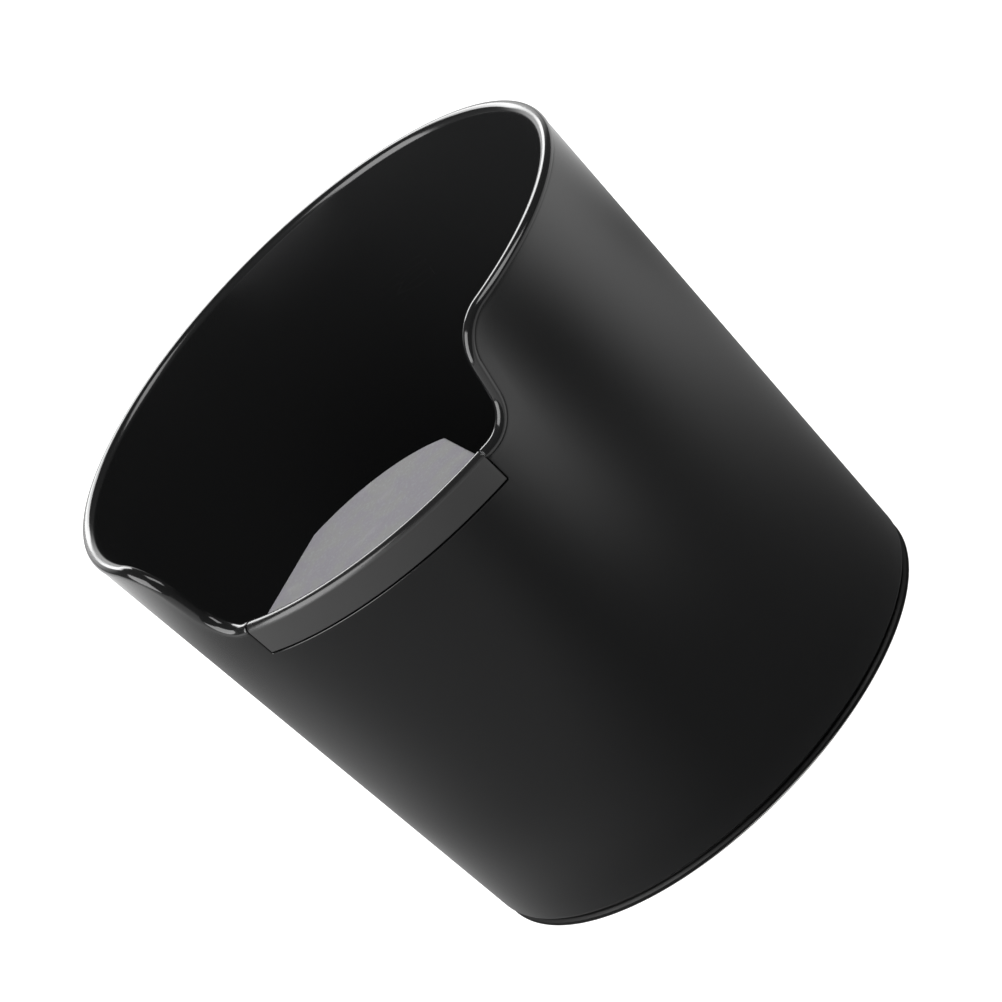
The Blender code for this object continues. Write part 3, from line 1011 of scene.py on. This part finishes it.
class KNOCKBOX_OT_tub(bpy.types.Operator):
    """Build the tub with its notched rim and the pad's seat"""

    bl_idname = "knockbox.tub"
    bl_label = "Tub"

    def execute(self, context):
        tub = tub_moulding()
        dress(tub, tub_plastic(context.scene.knock_box_finish))
        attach(tub, "tub")
        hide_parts("tub_shell")
        return {"FINISHED"}


class KNOCKBOX_OT_pad(bpy.types.Operator):
    """Build the rubber pad that sits on the wall in the notch"""

    bl_idname = "knockbox.pad"
    bl_label = "Knock pad"

    def execute(self, context):
        pad = pad_cover()
        dress(pad, pad_rubber(context.scene.knock_box_finish))
        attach(pad, "pad")
        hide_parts("knock_pad")
        return {"FINISHED"}


class KNOCKBOX_OT_bracket(bpy.types.Operator):
    """Give the bracket inside the pad its finish"""

    bl_idname = "knockbox.bracket"
    bl_label = "Pad bracket"

    def execute(self, context):
        dress(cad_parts["pad_core"], core_plastic(context.scene.knock_box_finish))
        return {"FINISHED"}


class KNOCKBOX_OT_ring(bpy.types.Operator):
    """Build the rubber base ring with its ribbed edge"""

    bl_idname = "knockbox.ring"
    bl_label = "Base ring"

    def execute(self, context):
        material = foot_rubber(context.scene.knock_box_finish)
        ring = ribbed_ring(context.scene.knock_box_ring, material)
        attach(ring, "tub")
        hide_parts("base_ring")
        return {"FINISHED"}


class KNOCKBOX_OT_studio(bpy.types.Operator):
    """Set up the pale floor, the soft light and the camera"""

    bl_idname = "knockbox.studio"
    bl_label = "Studio"

    def execute(self, context):
        studio = context.scene.knock_box_studio
        turn = studio.view_turn
        floor = flat_disc("studio_floor", FLOOR_LEVEL)
        dress(floor, floor_finish())
        floor.visible_glossy = False
        sheen = flat_disc("floor_sheen", SHEEN_LEVEL)
        dress(sheen, sheen_finish(turn))
        sheen.visible_camera = False
        sheen.visible_diffuse = False
        sheen.visible_shadow = False
        sky(turn, studio.sky_strength, studio.glow_strength)
        for name, azimuth, elevation, distance, size, share in PANELS:
            direction = facing(turn + math.radians(azimuth), math.radians(elevation))
            soft_panel(name, direction, distance, size, studio.panel_power * share)
        above = facing(turn, FILL_ANGLE)
        fill = soft_panel("top_fill", above, FILL_DISTANCE, FILL_SIZE, studio.fill_power)
        fill.visible_glossy = False
        camera(studio)
        context.scene.view_settings.view_transform = "Standard"
        return {"FINISHED"}


class KNOCKBOX_PT_panel(bpy.types.Panel):
    bl_idname = "KNOCKBOX_PT_panel"
    bl_label = "Knock Box"
    bl_space_type = "VIEW_3D"
    bl_region_type = "UI"
    bl_category = "Knock Box"

    def draw(self, context):
        layout = self.layout
        for operator in PIECES:
            layout.operator(operator.bl_idname)
        for group in GROUPS:
            settings = getattr(context.scene, GROUPS[group])
            for name in group.__annotations__:
                layout.prop(settings, name)


PIECES = (
    KNOCKBOX_OT_tub, KNOCKBOX_OT_pad, KNOCKBOX_OT_bracket, KNOCKBOX_OT_ring, KNOCKBOX_OT_studio,
)
GROUPS = {
    KnockBoxFinish: "knock_box_finish",
    KnockBoxRing: "knock_box_ring",
    KnockBoxStudio: "knock_box_studio",
}


def register():
    for group, name in GROUPS.items():
        bpy.utils.register_class(group)
        setattr(bpy.types.Scene, name, PointerProperty(type=group))
    for item in (*PIECES, KNOCKBOX_PT_panel):
        bpy.utils.register_class(item)


def unregister():
    for item in (*PIECES, KNOCKBOX_PT_panel):
        bpy.utils.unregister_class(item)
    for group, name in GROUPS.items():
        delattr(bpy.types.Scene, name)
        bpy.utils.unregister_class(group)


def main():
    """Build everything."""
    register()
    bpy.ops.knockbox.tub()
    bpy.ops.knockbox.pad()
    bpy.ops.knockbox.bracket()
    bpy.ops.knockbox.ring()
    bpy.ops.knockbox.studio()


if __name__ == "__main__":
    main()
